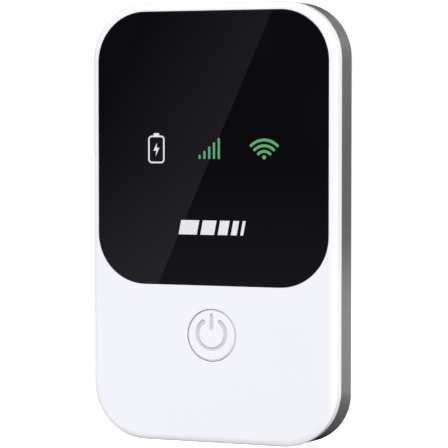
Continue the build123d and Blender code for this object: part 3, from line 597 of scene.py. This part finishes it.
MATERIALS = {
    "shell_white": lambda: moulded_gloss("shell_white", SHELL_WHITE),
    "button_white": lambda: moulded_gloss("button_white", SHELL_WHITE, BUTTON_GLOSS, coat=0.4),
    "cover_white": lambda: moulded_satin("cover_satin", COVER_WHITE),
    "band_grey": lacquered_band,
    "panel_black": panel_gloss,
    "print_green": lambda: screen_print("print_green", PRINT_GREEN, glow=0.12),
    "print_white": lambda: screen_print("print_white", PRINT_WHITE),
    "symbol_grey": lambda: sunk_ink_with_painted_shade("symbol_grey", SYMBOL_GREY),
    "tape_black": lambda: soft_matte("tape_foam", FOAM_BLACK, FOAM_GRAIN, FOAM_DEPTH),
    "milky": lambda: plain_moulding("milky", MILKY),
    "frame_black": lambda: plain_moulding("black_moulding", BLACK_PLASTIC),
    "led_amber": lambda: moulded_gloss("led_amber", AMBER),
    "switch_metal": lambda: metal("switch_metal", STEEL),
    "board_green": board_mask,
    "chip_black": lambda: plain_moulding("chip_epoxy", EPOXY_BLACK, CHIP_GLOSS),
    "passive_tan": lambda: soft_matte("passive_ceramic", CERAMIC_TAN, CERAMIC_GRAIN, CERAMIC_DEPTH),
    "shield_nickel": lambda: metal("shield_nickel", NICKEL, PLATED_GLOSS),
    "ferrite": lambda: plain_moulding("ferrite", FERRITE, FERRITE_GLOSS),
    "pad_blue": lambda: soft_matte("gap_filler", PAD_BLUE, FILLER_GRAIN, FILLER_DEPTH),
    "gold": lambda: metal("gold_plate", GOLD, GOLD_GLOSS),
    "port_steel": lambda: metal("port_steel", STEEL, PORT_GLOSS, GRAIN_BACK),
    "flex_copper": lambda: metal("flex_copper", COPPER, PLATED_GLOSS),
    "screw_steel": lambda: metal("screw_zinc", BLACK_ZINC, PLATED_GLOSS),
    "card_plastic": lambda: plain_moulding("card_white", CARD_WHITE, CARD_GLOSS),
    "cell_metal": foil_pouch,
    "label_silver": lambda: printed_label(
        "label_silver", "battery_label", LABEL_SILVER, BATTERY_BARS
    ),
    "label_white": lambda: printed_label("label_white", "rating_label", LABEL_WHITE, RATING_BARS),
}


def dress_nodes():
    """Gives every CAD node the finish of its slot in the record."""
    finished = {}
    for part in frame["record"]["subparts"]:
        slot = part["material_slot"]
        if slot not in finished:
            finished[slot] = MATERIALS[slot]()
        for holder in frame["nodes"][part["node"]].material_slots:
            holder.material = finished[slot]


# ================================================================ studio
def floor():
    """A wide pale disc under the object."""
    mesh = bpy.data.meshes.new("floor")
    shape = bmesh.new()
    bmesh.ops.create_circle(shape, cap_ends=True, segments=FLOOR_SIDES, radius=FLOOR_RADIUS)
    shape.to_mesh(mesh)
    shape.free()
    disc = bpy.data.objects.new("floor", mesh)
    disc.location.z = -FLOOR_DROP
    bpy.context.scene.collection.objects.link(disc)
    paint = Paint("floor", FLOOR_WHITE, roughness=0.9, specular=0.0, glow=FLOOR_GLOW)
    paint.shader.inputs["Emission Color"].default_value = (1, 1, 1, 1)
    mesh.materials.append(paint.material)
    disc.visible_glossy = False
    disc.visible_diffuse = False


class Surround:
    """The world's shader, and short ways to build brightness by direction for it."""

    def __init__(self):
        world = bpy.data.worlds.new("studio")
        bpy.context.scene.world = world
        world.use_nodes = True
        self.nodes = world.node_tree.nodes
        self.links = world.node_tree.links
        self.nodes.clear()
        self.output = self.nodes.new("ShaderNodeOutputWorld")
        self.path = self.nodes.new("ShaderNodeLightPath")
        place = self.nodes.new("ShaderNodeTexCoord")
        self.direction = self.nodes.new("ShaderNodeSeparateXYZ")
        self.links.new(place.outputs["Generated"], self.direction.inputs[0])

    def gradient(self, axis, span, levels=(0.0, 1.0), shape="SMOOTHSTEP"):
        """A value that goes from one level to another across a span of an axis."""
        node = self.nodes.new("ShaderNodeMapRange")
        node.interpolation_type = shape
        self.links.new(self.direction.outputs[axis], node.inputs[0])
        for index, value in enumerate((*span, *levels), 1):
            node.inputs[index].default_value = value
        return node.outputs[0]

    def combine(self, operation, a, b):
        node = self.nodes.new("ShaderNodeMath")
        node.operation = operation
        self.links.new(a, node.inputs[0])
        self.links.new(b, node.inputs[1])
        return node.outputs[0]

    def shelves(self, levels):
        """Brightness by height, from a list of (height, brightness)."""
        ramp = self.nodes.new("ShaderNodeValToRGB")
        self.links.new(self.gradient("Z", (-1.0, 1.0), shape="LINEAR"), ramp.inputs[0])
        stops = ramp.color_ramp.elements
        while len(stops) < len(levels):
            stops.new(0.5)
        for stop, (height, _) in zip(stops, levels):
            stop.position = (height + 1) / 2
        # A stop can change places as it is moved, so the levels go in when all are in order.
        for stop, (_, level) in zip(stops, levels):
            stop.color = (level, level, level, 1)
        return ramp.outputs[0]

    def blend(self, factor, a, b):
        node = self.nodes.new("ShaderNodeMix")
        node.data_type = "RGBA"
        self.links.new(factor, node.inputs[0])
        self.links.new(a, node.inputs[6])
        self.links.new(b, node.inputs[7])
        return node.outputs[2]

    def glow(self, strength):
        """White light of a strength that is a number or a socket."""
        node = self.nodes.new("ShaderNodeBackground")
        node.inputs["Color"].default_value = (1, 1, 1, 1)
        if isinstance(strength, bpy.types.NodeSocket):
            self.links.new(strength, node.inputs["Strength"])
        else:
            node.inputs["Strength"].default_value = strength
        return node.outputs[0]

    def choose(self, ray, otherwise, chosen):
        """The chosen light for one kind of ray, and another for the rest."""
        node = self.nodes.new("ShaderNodeMixShader")
        self.links.new(self.path.outputs[ray], node.inputs[0])
        self.links.new(otherwise, node.inputs[1])
        self.links.new(chosen, node.inputs[2])
        return node.outputs[0]


def soft_light(world):
    """Brightness that lights the object: even, and dimmer from below on the left."""
    low_light = world.combine(
        "MAXIMUM",
        world.gradient("Z", AMBIENT_UP, AMBIENT_BELOW),
        world.gradient("X", AMBIENT_RIGHT, AMBIENT_BELOW_RIGHT),
    )
    return world.combine("MULTIPLY", world.gradient("X", AMBIENT_ACROSS, AMBIENT), low_light)


def reflected_room(world):
    """Brightness that gloss reflects: a dim room with paler sides, front and back apart."""
    above = world.combine(
        "MULTIPLY",
        world.gradient("X", LEFT_SHADE_ACROSS, LEFT_SHADE),
        world.gradient("Z", HORIZON),
    )
    shade = world.combine("MAXIMUM", world.gradient("X", BELOW_ACROSS), above)
    back = world.combine("MULTIPLY", world.shelves(BACK_ROOM), shade)
    room = world.blend(world.gradient("Y", FRONT_TO_BACK), world.shelves(FRONT_ROOM), back)
    sides = world.combine(
        "MAXIMUM", world.gradient("X", *LEFT_GLOW), world.gradient("X", *RIGHT_GLOW)
    )
    return world.combine("MAXIMUM", room, sides)


def studio_world():
    """Bright surround for soft light, with a dim room for the gloss to reflect."""
    world = Surround()
    lit = world.choose(
        "Is Glossy Ray", world.glow(soft_light(world)), world.glow(reflected_room(world))
    )
    seen = world.choose("Is Camera Ray", lit, world.glow(BACKDROP))
    world.links.new(seen, world.output.inputs[0])


def area_light(name, target, place, size, power, color=(1, 1, 1)):
    """A rectangular lamp of (width, height), out of the camera's sight."""
    light = bpy.data.lights.new(name, "AREA")
    light.energy = power
    light.color = color
    light.shape = "RECTANGLE"
    light.size, light.size_y = size
    lamp = bpy.data.objects.new(name, light)
    lamp.location = place
    lamp.rotation_euler = (Vector(target) - Vector(place)).to_track_quat("-Z", "Y").to_euler()
    lamp.visible_camera = False
    bpy.context.scene.collection.objects.link(lamp)
    return lamp


def fade_card(light):
    """Makes the card's light grow along CARD_FADE."""
    light.use_nodes = True
    nodes, links = light.node_tree.nodes, light.node_tree.links
    along = nodes.new("ShaderNodeVectorMath")
    along.operation = "DOT_PRODUCT"
    along.inputs[1].default_value = CARD_FADE
    links.new(nodes.new("ShaderNodeNewGeometry").outputs["Position"], along.inputs[0])
    fade = nodes.new("ShaderNodeMapRange")
    fade.clamp = False
    links.new(along.outputs["Value"], fade.inputs[0])
    fade.inputs[1].default_value, fade.inputs[2].default_value = CARD_FADE_SPAN
    held = nodes.new("ShaderNodeClamp")
    links.new(fade.outputs[0], held.inputs[0])
    held.inputs[2].default_value = CARD_MOST
    links.new(held.outputs[0], nodes["Emission"].inputs["Strength"])


def sheen_card():
    """Dim card in front and to the left, whose slanted edge crosses the panel's reflection."""
    edge_low, edge_high = (Vector(point) for point in CARD_EDGE)
    up = (edge_high - edge_low).normalized()
    left = up.cross(INWARD)
    left = left if left.x < 0 else -left
    centre = (edge_low + edge_high) / 2 + left * CARD_SIZE[0] / 2
    lamp = area_light("sheen_card", centre + INWARD, centre, **CARD)
    lamp.rotation_euler.rotate_axis("Z", -math.atan2(up.x, up.z))
    fade_card(lamp.data)


def studio_lights():
    middle = (cad_box[0] + cad_box[1]) / 2
    area_light("overhead", middle, **OVERHEAD)
    area_light("brow", BROW_TARGET, **BROW)
    area_light("right_strip", middle, **RIGHT_STRIP)
    sheen_card()


def camera():
    data = bpy.data.cameras.new("camera")
    data.lens = CAMERA_LENS
    data.clip_start = CAMERA_NEAR
    view = bpy.data.objects.new("camera", data)
    view.location = CAMERA_PLACE
    view.rotation_euler = (math.radians(90 + CAMERA_TILT), 0, math.radians(CAMERA_YAW))
    bpy.context.scene.collection.objects.link(view)
    bpy.context.scene.camera = view


dress_nodes()
floor()
studio_world()
studio_lights()
camera()
bpy.context.scene.view_settings.view_transform = "Standard"
